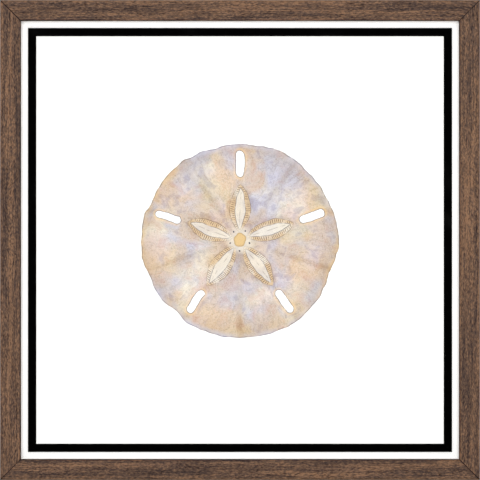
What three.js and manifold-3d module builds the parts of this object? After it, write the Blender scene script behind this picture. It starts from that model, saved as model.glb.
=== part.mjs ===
// A square framed art print, 440 mm a side, that hangs on one wall nail.
//
// The front faces -Y and +Z is up. The origin is where the wall nail bears: on the plane of the wall
// (y = 0), at the centre notch of the sawtooth hanger. All lengths are in millimetres.

import * as THREE from "three";
import { mergeVertices } from "three/addons/utils/BufferGeometryUtils.js";
import Module from "manifold-3d";

const wasm = await Module();
wasm.setup();

// ---------------------------------------------------------------- driving dimensions

// The moulding, and how it is joined.
const FRAME_SIDE = 440;
const FACE_WIDTH = 19;
const RAIL_DEPTH = 22;
const RABBET_WIDTH = 6;
const LIP_DEPTH = 8;
const OUTER_EASE = 1.2;
const SIGHT_EASE = 0.6;
const BACK_EASE = 0.5;
const FIT_GAP = 0.3; // between pieces that meet

// The picture package, from the front to the back.
const PACKAGE_SIDE = 412;
const GLAZING_THICKNESS = 2;
const MAT_THICKNESS = 1.5;
const OUTER_MAT_WINDOW = 393.2;
const INNER_MAT_WINDOW = 375.5;
const PRINT_SIDE = 406.4;
const PRINT_THICKNESS = 0.4;
const BACKING_THICKNESS = 3;
const SHEET_GAP = 0.1;

// The framer's points, three on each side, that hold the package in.
const POINT_PLACES = [-125, 0, 125];
const POINT_WIDTH = 6;
const POINT_LENGTH = 16;
const POINT_IN_WOOD = 5;
const POINT_TAPER = 2;
const POINT_THICKNESS = 0.6;

// The V-nails, two in the back of each mitre. An inset is measured in from the outer corner.
const V_NAIL_INSETS = { outer: 5.6, inner: 10.2 };
const V_NAIL_WING = 4.4;
const V_NAIL_THICKNESS = 0.8;
const V_NAIL_LENGTH = 7;
const V_NAIL_HALF_ANGLE = THREE.MathUtils.degToRad(50);

// The sawtooth hanger on the back of the top rail, and its two nails.
const HANGER_WIDTH = 46;
const HANGER_HEIGHT = 10;
const HANGER_THICKNESS = 0.8;
const HANGER_RISE = 1.6;
const HANGER_END = 8; // the flat length at each end
const HANGER_SLOPE = 2.2; // the length over which the strip rises
const HANGER_BELOW_TOP = 2;
const HANGER_CORNER = 1.5;
const NOTCH_COUNT = 9;
const NOTCH_PITCH = 2.6;
const NOTCH_DEPTH = 2;
const NAIL_SPACING = 38;
const NAIL_SHANK = 1.3;
const NAIL_HEAD = 3.4;
const NAIL_HEAD_THICKNESS = 0.7;
const NAIL_HEAD_EASE = 0.2;
const NAIL_LENGTH = 9;
const NAIL_TIP = 1.6;

// The bumpers that keep the bottom off the wall.
const BUMPER_DIAMETER = 10;
const BUMPER_THICKNESS = 3;
const BUMPER_FROM_SIDE = 40;
const BUMPER_EASE = 0.6;

// ---------------------------------------------------------------- places worked out from them

const HALF = FRAME_SIDE / 2;
const BACK_WIDTH = FACE_WIDTH - RABBET_WIDTH;
const BACK_Y = -BUMPER_THICKNESS;
const LIP_BACK_Y = BACK_Y - RAIL_DEPTH + LIP_DEPTH;
const TOP_Z = HANGER_BELOW_TOP + HANGER_HEIGHT - NOTCH_DEPTH;
const CENTRE_Z = TOP_Z - HALF;
const HANGER_Z = TOP_Z - HANGER_BELOW_TOP - HANGER_HEIGHT / 2;

const GLAZING_BACK_Y = LIP_BACK_Y + FIT_GAP + GLAZING_THICKNESS;
const OUTER_MAT_BACK_Y = GLAZING_BACK_Y + SHEET_GAP + MAT_THICKNESS;
const INNER_MAT_BACK_Y = OUTER_MAT_BACK_Y + SHEET_GAP + MAT_THICKNESS;
const PRINT_BACK_Y = INNER_MAT_BACK_Y + SHEET_GAP + PRINT_THICKNESS;
const BACKING_BACK_Y = PRINT_BACK_Y + SHEET_GAP + BACKING_THICKNESS;
const POINT_BACK_Y = BACKING_BACK_Y + FIT_GAP + POINT_THICKNESS;

const QUARTER_TURN = Math.PI / 2;
const SIDES = ["top", "right", "bottom", "left"]; // each is a quarter turn on from the last
const CORNERS = ["top_right", "bottom_right", "bottom_left", "top_left"];

// ---------------------------------------------------------------- finishes

const finish = (color, roughness, metalness = 0) =>
  new THREE.MeshStandardMaterial({ color, roughness, metalness });

const walnut = finish(0x6c5446, 0.55);
const whiteBoard = finish(0xf7f6f3, 0.9);
const blackBoard = finish(0x0b0b0b, 0.9);
const printPaper = finish(0xf8f4f0, 0.92);
const hardboard = finish(0x8a6a4a, 0.8);
const zincedSteel = finish(0xb4b4b0, 0.35, 1);
const brassedSteel = finish(0xb59a5c, 0.35, 1);
const blackRubber = finish(0x2a2a2a, 0.9);
const clearAcrylic = finish(0xf4f8f8, 0.05);
clearAcrylic.transparent = true;
clearAcrylic.opacity = 0.15;

// ---------------------------------------------------------------- helpers

function solidOf(geometry) {
  const bare = geometry.index ? geometry.toNonIndexed() : geometry.clone();
  bare.deleteAttribute("normal");
  bare.deleteAttribute("uv");
  const merged = mergeVertices(bare, 1e-4);
  return new wasm.Manifold(
    new wasm.Mesh({
      numProp: 3,
      vertProperties: new Float32Array(merged.attributes.position.array),
      triVerts: new Uint32Array(merged.index.array),
    }),
  );
}

function geometryOf(solid) {
  const { vertProperties, triVerts } = solid.getMesh();
  const indexed = new THREE.BufferGeometry();
  indexed.setAttribute("position", new THREE.BufferAttribute(vertProperties, 3));
  indexed.setIndex(new THREE.BufferAttribute(triVerts, 1));
  const flat = indexed.toNonIndexed();
  flat.computeVertexNormals();
  return flat;
}

function cutFrom(geometry, cutters) {
  const whole = solidOf(geometry);
  return geometryOf(cutters.reduce((rest, cutter) => rest.subtract(solidOf(cutter)), whole));
}

// Draws a shape of x and z out towards the front, starting at y = backY.
function extrudeForward(shape, depth, backY) {
  const geometry = new THREE.ExtrudeGeometry(shape, {
    depth,
    bevelEnabled: false,
    curveSegments: 10,
  });
  return geometry.rotateX(QUARTER_TURN).translate(0, backY, 0);
}

function square(side) {
  const half = side / 2;
  return new THREE.Shape([
    new THREE.Vector2(-half, -half),
    new THREE.Vector2(half, -half),
    new THREE.Vector2(half, half),
    new THREE.Vector2(-half, half),
  ]);
}

function named(name, geometry, material) {
  const mesh = new THREE.Mesh(geometry, material);
  mesh.name = name;
  return mesh;
}

// ---------------------------------------------------------------- framer's points and V-nails
// These are drawn in the top side or the top right corner, about the middle of the frame. The same
// outline with some clearance cuts the pocket in the wood.

function framersPoint(x, clearance = 0) {
  const halfWidth = POINT_WIDTH / 2 + clearance;
  const woodTip = HALF - BACK_WIDTH + POINT_IN_WOOD + clearance;
  const roundCentre = woodTip - POINT_LENGTH + POINT_WIDTH / 2;
  const outline = new THREE.Shape();
  outline.moveTo(x, woodTip);
  outline.lineTo(x - halfWidth, woodTip - POINT_TAPER);
  outline.absarc(x, roundCentre, halfWidth, 2 * QUARTER_TURN, 4 * QUARTER_TURN);
  outline.lineTo(x + halfWidth, woodTip - POINT_TAPER);
  return extrudeForward(outline, POINT_THICKNESS + 2 * clearance, POINT_BACK_Y + clearance);
}

// The V opens towards the corner, and its wings lie on both sides of the mitre.
function vNail(inset, quarterTurns, clearance = 0) {
  const half = V_NAIL_THICKNESS / 2 + clearance;
  const wing = V_NAIL_WING + clearance;
  const cos = Math.cos(V_NAIL_HALF_ANGLE);
  const sin = Math.sin(V_NAIL_HALF_ANGLE);
  const outerTip = [wing * cos - half * sin, wing * sin + half * cos];
  const innerTip = [wing * cos + half * sin, wing * sin - half * cos];
  const outline = new THREE.Shape();
  outline.moveTo(-half / sin, 0);
  outline.lineTo(outerTip[0], -outerTip[1]);
  outline.lineTo(innerTip[0], -innerTip[1]);
  outline.lineTo(half / sin, 0);
  outline.lineTo(innerTip[0], innerTip[1]);
  outline.lineTo(outerTip[0], outerTip[1]);
  return extrudeForward(outline, V_NAIL_LENGTH + clearance, BACK_Y)
    .translate(Math.SQRT2 * (HALF - inset), 0, 0)
    .rotateY((quarterTurns - 0.5) * QUARTER_TURN);
}

// ---------------------------------------------------------------- rails

// The moulding's section: x runs in from the outer edge, and y forward from the back.
function mouldingSection() {
  const section = new THREE.Shape();
  section.moveTo(0, BACK_EASE);
  section.lineTo(BACK_EASE, 0);
  section.lineTo(BACK_WIDTH, 0);
  section.lineTo(BACK_WIDTH, RAIL_DEPTH - LIP_DEPTH);
  section.lineTo(FACE_WIDTH, RAIL_DEPTH - LIP_DEPTH);
  const sightCentre = [FACE_WIDTH - SIGHT_EASE, RAIL_DEPTH - SIGHT_EASE];
  section.absarc(...sightCentre, SIGHT_EASE, 0, QUARTER_TURN);
  const outerCentre = [OUTER_EASE, RAIL_DEPTH - OUTER_EASE];
  section.absarc(...outerCentre, OUTER_EASE, QUARTER_TURN, 2 * QUARTER_TURN);
  return section;
}

// The top rail, about the middle of the frame: the section drawn out along x, with both ends mitred.
function mitredBar() {
  const bar = new THREE.ExtrudeGeometry(mouldingSection(), {
    depth: 1,
    bevelEnabled: false,
    curveSegments: 5,
  });
  const place = bar.attributes.position;
  const mitreGap = FIT_GAP / Math.SQRT2;
  for (let i = 0; i < place.count; i += 1) {
    const inward = place.getX(i);
    const forward = place.getY(i);
    const end = 1 - 2 * place.getZ(i);
    place.setXYZ(i, end * (HALF - inward - mitreGap), BACK_Y - forward, HALF - inward);
  }
  return bar;
}

function hangerNailHole(side) {
  const hole = new THREE.CylinderGeometry(NAIL_SHANK, NAIL_SHANK, 2 * NAIL_LENGTH, 12);
  return hole.translate((side * NAIL_SPACING) / 2, BACK_Y, HANGER_Z - CENTRE_Z);
}

function rail(side) {
  const pockets = POINT_PLACES.map((x) => framersPoint(x, FIT_GAP));
  for (const inset of Object.values(V_NAIL_INSETS)) {
    pockets.push(vNail(inset, 0, FIT_GAP), vNail(inset, -1, FIT_GAP));
  }
  if (side === "top") pockets.push(hangerNailHole(-1), hangerNailHole(1));
  const mesh = named(`rail_${side}`, cutFrom(mitredBar(), pockets), walnut);
  mesh.rotation.y = SIDES.indexOf(side) * QUARTER_TURN;
  return mesh;
}

// ---------------------------------------------------------------- the picture package

function sheet(name, side, thickness, backY, material) {
  const box = new THREE.BoxGeometry(side, thickness, side);
  return named(name, box.translate(0, backY - thickness / 2, 0), material);
}

// A mat's window is cut at 45 degrees, so it is smaller at the back than on the face.
function windowMat(name, faceWindow, backY, material) {
  const outline = square(PACKAGE_SIDE);
  outline.holes.push(square(faceWindow));
  const mat = extrudeForward(outline, MAT_THICKNESS, backY);
  const place = mat.attributes.position;
  const backScale = 1 - (2 * MAT_THICKNESS) / faceWindow;
  for (let i = 0; i < place.count; i += 1) {
    const atBack = place.getY(i) > backY - MAT_THICKNESS / 2;
    const inWindow = Math.abs(place.getX(i)) < (PACKAGE_SIDE + faceWindow) / 4;
    if (atBack && inWindow) {
      place.setX(i, place.getX(i) * backScale);
      place.setZ(i, place.getZ(i) * backScale);
    }
  }
  return named(name, mat, material);
}

// ---------------------------------------------------------------- hanger, its nails, and bumpers

// The hanger's outline, with notches along its lower edge and a hole for each nail.
function hangerOutline() {
  const x = HANGER_WIDTH / 2 - HANGER_CORNER;
  const top = HANGER_Z + HANGER_HEIGHT / 2 - HANGER_CORNER;
  const bottom = HANGER_Z - HANGER_HEIGHT / 2 + HANGER_CORNER;
  const outline = new THREE.Shape();
  outline.absarc(x, bottom, HANGER_CORNER, -QUARTER_TURN, 0);
  outline.absarc(x, top, HANGER_CORNER, 0, QUARTER_TURN);
  outline.absarc(-x, top, HANGER_CORNER, QUARTER_TURN, 2 * QUARTER_TURN);
  outline.absarc(-x, bottom, HANGER_CORNER, 2 * QUARTER_TURN, 3 * QUARTER_TURN);
  for (let n = 0; n < NOTCH_COUNT; n += 1) {
    const notch = (n - (NOTCH_COUNT - 1) / 2) * NOTCH_PITCH;
    outline.lineTo(notch - NOTCH_PITCH / 2, -NOTCH_DEPTH);
    outline.lineTo(notch, 0);
  }
  outline.lineTo((NOTCH_COUNT * NOTCH_PITCH) / 2, -NOTCH_DEPTH);
  for (const side of [-1, 1]) {
    const hole = new THREE.Path();
    hole.absarc((side * NAIL_SPACING) / 2, HANGER_Z, NAIL_SHANK / 2 + FIT_GAP, 0, 4 * QUARTER_TURN);
    outline.holes.push(hole);
  }
  return outline;
}

// The strip seen from its edge: flat at the ends, and raised off the wood in the middle.
function hangerBend() {
  const end = HANGER_WIDTH / 2;
  const foot = end - HANGER_END;
  const shoulder = foot - HANGER_SLOPE;
  const low = BACK_Y + FIT_GAP;
  const line = [
    [-end, low],
    [-foot, low],
    [-shoulder, low + HANGER_RISE],
    [shoulder, low + HANGER_RISE],
    [foot, low],
    [end, low],
  ];
  const woodSide = line.map(([x, y]) => new THREE.Vector2(x, y));
  const wallSide = line.map(([x, y]) => new THREE.Vector2(x, y + HANGER_THICKNESS));
  return new THREE.Shape([...woodSide, ...wallSide.reverse()]);
}

function sawtoothHanger() {
  const plate = extrudeForward(hangerOutline(), BUMPER_THICKNESS, 0);
  const bend = new THREE.ExtrudeGeometry(hangerBend(), {
    depth: 2 * HANGER_HEIGHT,
    bevelEnabled: false,
  }).translate(0, 0, HANGER_Z - HANGER_HEIGHT);
  const strip = solidOf(bend).intersect(solidOf(plate));
  return named("sawtooth_hanger", geometryOf(strip), brassedSteel);
}

function hangerNail(name, side) {
  const shank = NAIL_SHANK / 2;
  const head = NAIL_HEAD / 2;
  const profile = [
    new THREE.Vector2(0, -NAIL_LENGTH),
    new THREE.Vector2(shank, NAIL_TIP - NAIL_LENGTH),
    new THREE.Vector2(shank, 0),
    new THREE.Vector2(head, 0),
    new THREE.Vector2(head, NAIL_HEAD_THICKNESS - NAIL_HEAD_EASE),
    new THREE.Vector2(head - NAIL_HEAD_EASE, NAIL_HEAD_THICKNESS),
    new THREE.Vector2(0, NAIL_HEAD_THICKNESS),
  ];
  const mesh = named(name, new THREE.LatheGeometry(profile, 16), brassedSteel);
  const underHead = BACK_Y + 2 * FIT_GAP + HANGER_THICKNESS;
  mesh.position.set((side * NAIL_SPACING) / 2, underHead, HANGER_Z);
  return mesh;
}

function bumper(name, side) {
  const disc = new THREE.Shape();
  disc.absarc(0, 0, BUMPER_DIAMETER / 2 - BUMPER_EASE, 0, 4 * QUARTER_TURN);
  const pad = new THREE.ExtrudeGeometry(disc, {
    depth: BUMPER_THICKNESS - FIT_GAP - 2 * BUMPER_EASE,
    bevelSize: BUMPER_EASE,
    bevelThickness: BUMPER_EASE,
    bevelSegments: 3,
    curveSegments: 16,
  }).rotateX(QUARTER_TURN);
  const mesh = named(name, pad, blackRubber);
  const x = side * (HALF - BUMPER_FROM_SIDE);
  mesh.position.set(x, -BUMPER_EASE, CENTRE_Z - HALF + BACK_WIDTH / 2);
  return mesh;
}

// ---------------------------------------------------------------- the whole object

const frame = new THREE.Group();
frame.position.z = CENTRE_Z;
frame.add(
  ...SIDES.map(rail),
  sheet("glazing", PACKAGE_SIDE, GLAZING_THICKNESS, GLAZING_BACK_Y, clearAcrylic),
  windowMat("outer_mat", OUTER_MAT_WINDOW, OUTER_MAT_BACK_Y, whiteBoard),
  windowMat("inner_mat", INNER_MAT_WINDOW, INNER_MAT_BACK_Y, blackBoard),
  sheet("art_print", PRINT_SIDE, PRINT_THICKNESS, PRINT_BACK_Y, printPaper),
  sheet("backing_board", PACKAGE_SIDE, BACKING_THICKNESS, BACKING_BACK_Y, hardboard),
);
SIDES.forEach((side, turn) => {
  POINT_PLACES.forEach((x, n) => {
    const point = named(`framers_point_${side}_${n + 1}`, framersPoint(x), zincedSteel);
    point.rotation.y = turn * QUARTER_TURN;
    frame.add(point);
  });
});
CORNERS.forEach((corner, turn) => {
  for (const [row, inset] of Object.entries(V_NAIL_INSETS)) {
    frame.add(named(`v_nail_${corner}_${row}`, vNail(inset, turn), zincedSteel));
  }
});

const framedPrint = new THREE.Group();
framedPrint.add(
  frame,
  sawtoothHanger(),
  hangerNail("hanger_nail_left", -1),
  hangerNail("hanger_nail_right", 1),
  bumper("bumper_left", -1),
  bumper("bumper_right", 1),
);

export default framedPrint;
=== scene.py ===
"""A framed watercolour print of a sand dollar, laid out as an add-on that builds each group of pieces."""

import math

import bmesh
import bpy
from bpy.props import FloatProperty, FloatVectorProperty, IntProperty, PointerProperty
from mathutils import Matrix, Vector


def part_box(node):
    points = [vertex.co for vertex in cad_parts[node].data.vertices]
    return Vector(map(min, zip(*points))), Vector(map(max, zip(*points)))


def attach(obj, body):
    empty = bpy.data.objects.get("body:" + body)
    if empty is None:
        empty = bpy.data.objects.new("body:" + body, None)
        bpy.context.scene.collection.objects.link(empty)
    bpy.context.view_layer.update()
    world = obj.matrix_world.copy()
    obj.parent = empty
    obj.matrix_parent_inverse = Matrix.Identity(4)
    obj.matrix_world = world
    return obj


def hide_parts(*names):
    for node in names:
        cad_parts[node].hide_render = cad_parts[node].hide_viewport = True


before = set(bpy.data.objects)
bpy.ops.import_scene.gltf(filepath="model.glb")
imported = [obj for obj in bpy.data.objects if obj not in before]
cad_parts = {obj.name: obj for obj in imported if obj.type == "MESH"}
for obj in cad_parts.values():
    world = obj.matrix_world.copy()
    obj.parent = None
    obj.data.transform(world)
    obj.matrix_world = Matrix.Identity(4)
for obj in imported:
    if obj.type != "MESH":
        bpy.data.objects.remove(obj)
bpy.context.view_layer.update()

bl_info = {
    "name": "Framed Art Print",
    "version": (1, 0, 0),
    "blender": (4, 5, 0),
    "location": "View3D > Sidebar > Framed Print",
    "description": "Builds a double-matted watercolour print in a mitred walnut frame",
    "category": "Add Mesh",
}

MM = 0.001
SIDES = ("top", "right", "bottom", "left")
CORNERS = ("top_right", "bottom_right", "bottom_left", "top_left")


def cad_box(*nodes):
    """The lowest and highest corners of some CAD nodes together."""
    lows, highs = zip(*(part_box(node) for node in nodes))
    low = Vector(min(corner[i] for corner in lows) for i in range(3))
    high = Vector(max(corner[i] for corner in highs) for i in range(3))
    return low, high


FRAME_LOW, FRAME_HIGH = cad_box(*(f"rail_{side}" for side in SIDES))
CENTRE = (FRAME_LOW + FRAME_HIGH) / 2
HALF = (FRAME_HIGH.x - FRAME_LOW.x) / 2
FRONT_Y, BACK_Y = FRAME_LOW.y, FRAME_HIGH.y
FACE = FRAME_HIGH.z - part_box("rail_top")[0].z


def srgb(red, green, blue):
    """A colour given as it looks, from 0 to 255, as the linear values that shaders use."""
    return tuple(
        value / 12.92 if value <= 0.04045 else ((value + 0.055) / 1.055) ** 2.4
        for value in (red / 255, green / 255, blue / 255)
    )


def colour(name, description, value):
    """A colour property, with its default given from 0 to 255."""
    return FloatVectorProperty(
        name=name, description=description, default=srgb(*value), subtype="COLOR", size=3, min=0, max=1
    )


def length(name, description, millimetres):
    """A length property, with its default given in millimetres."""
    metres = millimetres * MM
    return FloatProperty(
        name=name, description=description, default=metres, subtype="DISTANCE", unit="LENGTH", min=0
    )


# ------------------------------------------------------------------------------- settings


class MouldingSettings(bpy.types.PropertyGroup):
    rabbet_width: length("Rabbet width", "How far the lip overhangs the glazing", 6)
    lip_depth: length("Lip depth", "Thickness of the lip in front of the glazing", 8)
    outer_ease: length("Outer edge", "Radius of the front outer edge", 1.2)
    sight_ease: length("Sight edge", "Radius of the front inner edge", 0.6)
    back_ease: length("Back edge", "Radius of the back outer edge", 0.5)
    open_mitre: length("Open mitre", "Bevel beside the two mitres that show most", 0.28)
    tight_mitre: length("Tight mitre", "Bevel beside the other two mitres", 0.1)
    dark: colour("Dark grain", "Late wood and pores", (47, 31, 26))
    middle: colour("Middle grain", "The main tone of the stain", (86, 64, 49))
    # Also the colour of the painted highlight along the rails' outer front edge.
    light: colour("Light grain", "The palest streaks", (128, 95, 69))
    raw: colour("Raw wood", "Unstained wood at the back", (203, 172, 130))


class PictureSettings(bpy.types.PropertyGroup):
    outer_window: length("Outer window", "Across the white mat's opening at its face", 393.0)
    inner_window: length("Inner window", "Across the black mat's opening at its face", 374.7)
    board_ease: length("Board edge", "Radius of the edges of the glazing and the backing", 0.25)
    white_mat: colour("White mat", "Face of the outer mat", (249, 249, 248))
    black_mat: colour("Black mat", "Face of the inner mat", (2, 2, 2))
    mat_core: colour("Mat core", "Cut edge of both mats", (245, 245, 243))
    paper: colour("Paper", "Bare paper of the print", (247, 247, 246))
    wash: colour("Wash", "Thin tone over the whole painting", (229, 231, 231))
    hardboard: colour("Hardboard", "Backing board", (120, 86, 58))
    glare: FloatProperty(
        name="Glare", description="Share of light that each face of the glazing reflects",
        default=0.02, subtype="FACTOR", min=0, max=1,
    )


class HardwareSettings(bpy.types.PropertyGroup):
    zinc: colour("Zinc plate", "Framer's points and V-nails", (186, 188, 190))
    brass: colour("Brass plate", "Hanger and its nails", (196, 164, 98))
    rubber: colour("Rubber", "Bumpers", (38, 38, 40))
    tip_lift: length("Tip lift", "How far a framer's point is bent up at its tip", 0.9)
    rib: length("Rib", "Height of the rib pressed in each framer's point", 0.3)
    wing: length("V-nail wing", "From a V-nail's bend to its edge", 4.4)
    inset: length("V-nail inset", "From the outer corner to the middle of a pair, along a side", 7.9)
    spacing: length("V-nail spacing", "Between the two nails of a pair, along a side", 4.6)
    turn: FloatProperty(
        name="Turn", description="Largest random turn of a framer's point",
        default=math.radians(2.5), subtype="ANGLE", unit="ROTATION",
    )
    seed: IntProperty(name="Seed", description="Seed of the random turns", default=4)


class StudioSettings(bpy.types.PropertyGroup):
    camera_distance: length("Camera distance", "From the frame's face to the camera", 3000)
    floor: colour("Floor", "Studio floor", (222, 221, 219))
    room: FloatProperty(name="Room light", description="Strength of the light all round", default=0.5)
    key: FloatProperty(
        name="Key light", description="Power of each soft light in front", default=66.0, unit="POWER"
    )
    fill: FloatProperty(
        name="Fill light", description="Power of each soft light behind", default=30.0, unit="POWER"
    )


# ------------------------------------------------------------------------------- shader fields


class Field:
    """A value that changes over a surface, which can be used in ordinary arithmetic."""

    def __init__(self, shader, socket):
        self.shader = shader
        self.socket = socket

    def math(self, operation, *others):
        return self.shader.math(operation, self, *others)

    def __add__(self, other):
        return self.math("ADD", other)

    def __radd__(self, other):
        return self.math("ADD", other)

    def __sub__(self, other):
        return self.math("SUBTRACT", other)

    def __rsub__(self, other):
        return self.shader.math("SUBTRACT", other, self)

    def __mul__(self, other):
        return self.math("MULTIPLY", other)

    def __truediv__(self, other):
        return self.math("DIVIDE", other)

    def __neg__(self):
        return self.math("MULTIPLY", -1.0)

    def __abs__(self):
        return self.math("ABSOLUTE")

    def __pow__(self, power):
        return self.math("POWER", power)

    def over(self, other):
        """The larger of the two."""
        return self.math("MAXIMUM", other)

    def under(self, other):
        """The smaller of the two."""
        return self.math("MINIMUM", other)

    def rise(self, low, high):
        """0 below low, 1 above high, and a smooth step between them. high may be the smaller."""
        return self.shader.rise(self, low, high)

    def line(self, at, half_width, soft):
        """1 where the value is within half_width of at, falling to 0 over soft."""
        return abs(self - at).rise(half_width + soft, half_width)


class Nodes:
    """A node tree under construction."""

    def __init__(self, tree):
        self.tree = tree
        tree.nodes.clear()

    def node(self, kind, values=(), **settings):
        made = self.tree.nodes.new(kind)
        for key, value in settings.items():
            setattr(made, key, value)
        for key, value in dict(values).items():
            self.feed(made.inputs[key], value)
        return made

    def feed(self, socket, value):
        """Links a field or a socket to an input, or sets it to a plain value."""
        if isinstance(value, Field):
            value = value.socket
        if isinstance(value, bpy.types.NodeSocket):
            self.tree.links.new(value, socket)
        elif value is not None:
            if isinstance(value, tuple) and socket.type == "RGBA":
                value = (*value[:3], 1.0)
            socket.default_value = value

    def math(self, operation, *values):
        made = self.node("ShaderNodeMath", enumerate(values), operation=operation)
        return Field(self, made.outputs[0])

    def vector(self, x, y, z):
        return self.node("ShaderNodeCombineXYZ", {"X": x, "Y": y, "Z": z}).outputs[0]


class Surface(Nodes):
    """A material under construction, whose lengths are all in millimetres."""

    def __init__(self, name):
        self.material = bpy.data.materials.new(name)
        self.material.use_nodes = True
        super().__init__(self.material.node_tree)
        self.point = None

    def rise(self, value, low, high):
        """A smooth step from 0 at low to 1 at high. high may be the smaller."""
        values = {"Value": value, "From Min": low, "From Max": high}
        made = self.node("ShaderNodeMapRange", values, interpolation_type="SMOOTHSTEP")
        return Field(self, made.outputs["Result"])

    def parts(self, vector):
        """The three fields of a vector."""
        return [Field(self, out) for out in self.node("ShaderNodeSeparateXYZ", {0: vector}).outputs]

    def place(self, centre=(0, 0, 0)):
        """The point on the surface in millimetres from centre, which is in metres."""
        source = self.node("ShaderNodeTexCoord").outputs["Object"]
        made = self.node(
            "ShaderNodeMapping",
            {"Vector": source, "Location": tuple(-c / MM for c in centre), "Scale": (1 / MM,) * 3},
        )
        self.point = made.outputs[0]
        return self.parts(self.point)

    def noise(self, size, seed=0, detail=2.0, rough=0.5, at=None, output="Fac"):
        """Cloudy noise from 0 to 1. size is one length, or three for stretched noise."""
        sizes = size if isinstance(size, tuple) else (size,) * 3
        placed = self.node(
            "ShaderNodeMapping",
            {
                "Vector": at or self.point,
                "Location": (seed * 17.31, seed * 5.17, seed * -9.73),
                "Scale": tuple(1 / s for s in sizes),
            },
        )
        values = {"Vector": placed.outputs[0], "Scale": 1.0, "Detail": detail, "Roughness": rough}
        made = self.node("ShaderNodeTexNoise", values)
        return Field(self, made.outputs[output])

    def cells(self, size, seed=0, output="Distance", at=None):
        """Voronoi cells about size across."""
        placed = self.node(
            "ShaderNodeMapping",
            {
                "Vector": at or self.point,
                "Location": (seed * 7.7, seed * 3.1, seed * 1.9),
                "Scale": (1 / size,) * 3,
            },
        )
        made = self.node("ShaderNodeTexVoronoi", {"Vector": placed.outputs[0], "Scale": 1.0})
        return Field(self, made.outputs[output])

    def mix(self, share, first, second, kind="MIX"):
        """Two colours mixed, as a socket."""
        made = self.tree.nodes.new("ShaderNodeMix")
        made.data_type = "RGBA"
        made.blend_type = kind
        made.clamp_factor = True
        for index, value in ((0, share), (6, first), (7, second)):
            self.feed(made.inputs[index], value)
        return made.outputs[2]

    def glaze(self, base, share, tint):
        """A see-through wash of tint over a colour."""
        return self.mix(share, base, tint, "MULTIPLY")

    def ramp(self, value, stops):
        """A colour chosen along stops of (place, colour)."""
        made = self.node("ShaderNodeValToRGB", {"Fac": value})
        elements = made.color_ramp.elements
        while len(elements) < len(stops):
            elements.new(0.5)
        for element, (place, tone) in zip(elements, stops):
            element.position = place
            element.color = (*tone, 1.0)
        return made.outputs["Color"]

    def bump(self, height, depth):
        """A normal from a height field between 0 and 1, with depth in millimetres."""
        made = self.node("ShaderNodeBump", {"Height": height, "Distance": depth * MM, "Strength": 1.0})
        return made.outputs["Normal"]

    def finish(self, **values):
        """Ends the material in a Principled shader, whose inputs are given with _ for a space."""
        named = {key.replace("_", " "): value for key, value in values.items()}
        shader = self.node("ShaderNodeBsdfPrincipled", named)
        output = self.tree.nodes.new("ShaderNodeOutputMaterial")
        self.tree.links.new(shader.outputs[0], output.inputs["Surface"])
        return self.material


# ------------------------------------------------------------------------------- wood


# How light or dark the stain of each rail is, in the order of SIDES: the right and bottom rails lighter, the
# left one darker.
SIDE_TONES = (0.495, 0.525, 0.525, 0.47)


def grain_fields(surface, side):
    """Noise drawn out along one rail, from a different board for each side."""
    x, y, z = surface.place(CENTRE)
    along, across = (x, z) if side in ("top", "bottom") else (z, x)
    board = SIDES.index(side)
    along = along + board * 900.0
    straight = surface.vector(along, across, y)
    drift = surface.noise((150, 16, 16), board, 1.0, at=straight) - 0.5
    waves = surface.noise((34, 5, 5), board + 5, 1.0, at=straight) - 0.5
    wavy = surface.vector(along, across + drift * 7.0 + waves * 0.9, y)

    def grain(length, width, seed, detail=2.0, rough=0.5):
        return surface.noise((length, width, width), seed, detail, rough, at=wavy)

    reach = abs(x).over(abs(z))
    return grain, HALF / MM - reach, y + (CENTRE.y - FRONT_Y) / MM, x, z


def seam_field(x, z):
    """Distance in millimetres from the nearest mitre, measured square to it."""
    return abs(abs(x) - abs(z)) * math.sqrt(0.5)


def walnut(side, settings):
    """Satin walnut stain over open grain, with a painted highlight along the outer front edge and painted
    shade along the sight edge.
    """
    surface = Surface(f"walnut_{side}")
    grain, inward, behind_front, x, z = grain_fields(surface, side)
    bands = grain(150, 5.6, 1, 2.0, 0.5)
    streaks = grain(40, 0.95, 2, 2.0, 0.6)
    fibre = grain(2.6, 0.9, 3, 2.0, 0.6)
    side_tone = SIDE_TONES[SIDES.index(side)]
    tone = side_tone + (bands - 0.5) * 0.95 + (streaks - 0.5) * 0.8 + (fibre - 0.5) * 1.5
    pores = grain(3.4, 0.6, 4, 1.0) + (streaks - 0.5) * -0.35
    pore = pores.rise(0.56, 0.7)
    stops = [(0.18, settings.dark), (0.5, settings.middle), (0.82, settings.light)]
    wood = surface.ramp(tone, [(place, tuple(tint)) for place, tint in stops])
    cool = grain(60, 2.6, 6).rise(0.5, 0.68) * 0.6
    wood = surface.glaze(wood, cool, srgb(206, 208, 226))
    wood = surface.glaze(wood, pore * 0.75, srgb(126, 112, 112))
    threads = grain(24, 0.22, 7, 2.0, 0.6).rise(0.42, 0.7)
    wood = surface.glaze(wood, threads * 0.5, srgb(178, 160, 152))
    # Paler along the outer front edge: a painted highlight on the rounded outer edge.
    outer_edge_highlight = inward.rise(1.7, 0.3) * behind_front.rise(3.5, 0.6) * grain(9, 30, 8).rise(0.25, 0.6)
    wood = surface.mix(outer_edge_highlight * 0.5, wood, tuple(settings.light))
    # Darker within 1.6 mm of the sight edge: painted shade at the lip's inner edge.
    sight_edge_shade = inward.rise(FACE / MM - 1.6, FACE / MM - 0.5) * grain(60, 30, 10).rise(0.3, 0.6)
    wood = surface.glaze(wood, sight_edge_shade * 0.8, srgb(150, 116, 96))
    seam = seam_field(x, z).rise(0.6, 0.25) * surface.noise(5.0, 9, 1.0).rise(0.2, 0.5)
    wood = surface.glaze(wood, seam, srgb(100, 62, 46))
    height = 0.8 - pore * 0.6 - threads * 0.25 + (fibre - 0.5) * 0.4
    return surface.finish(
        Base_Color=wood,
        Roughness=0.5 + pore * 0.3 + (fibre - 0.5) * 0.2,
        Normal=surface.bump(height, 0.09),
        Specular_IOR_Level=0.12,
    )


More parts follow.
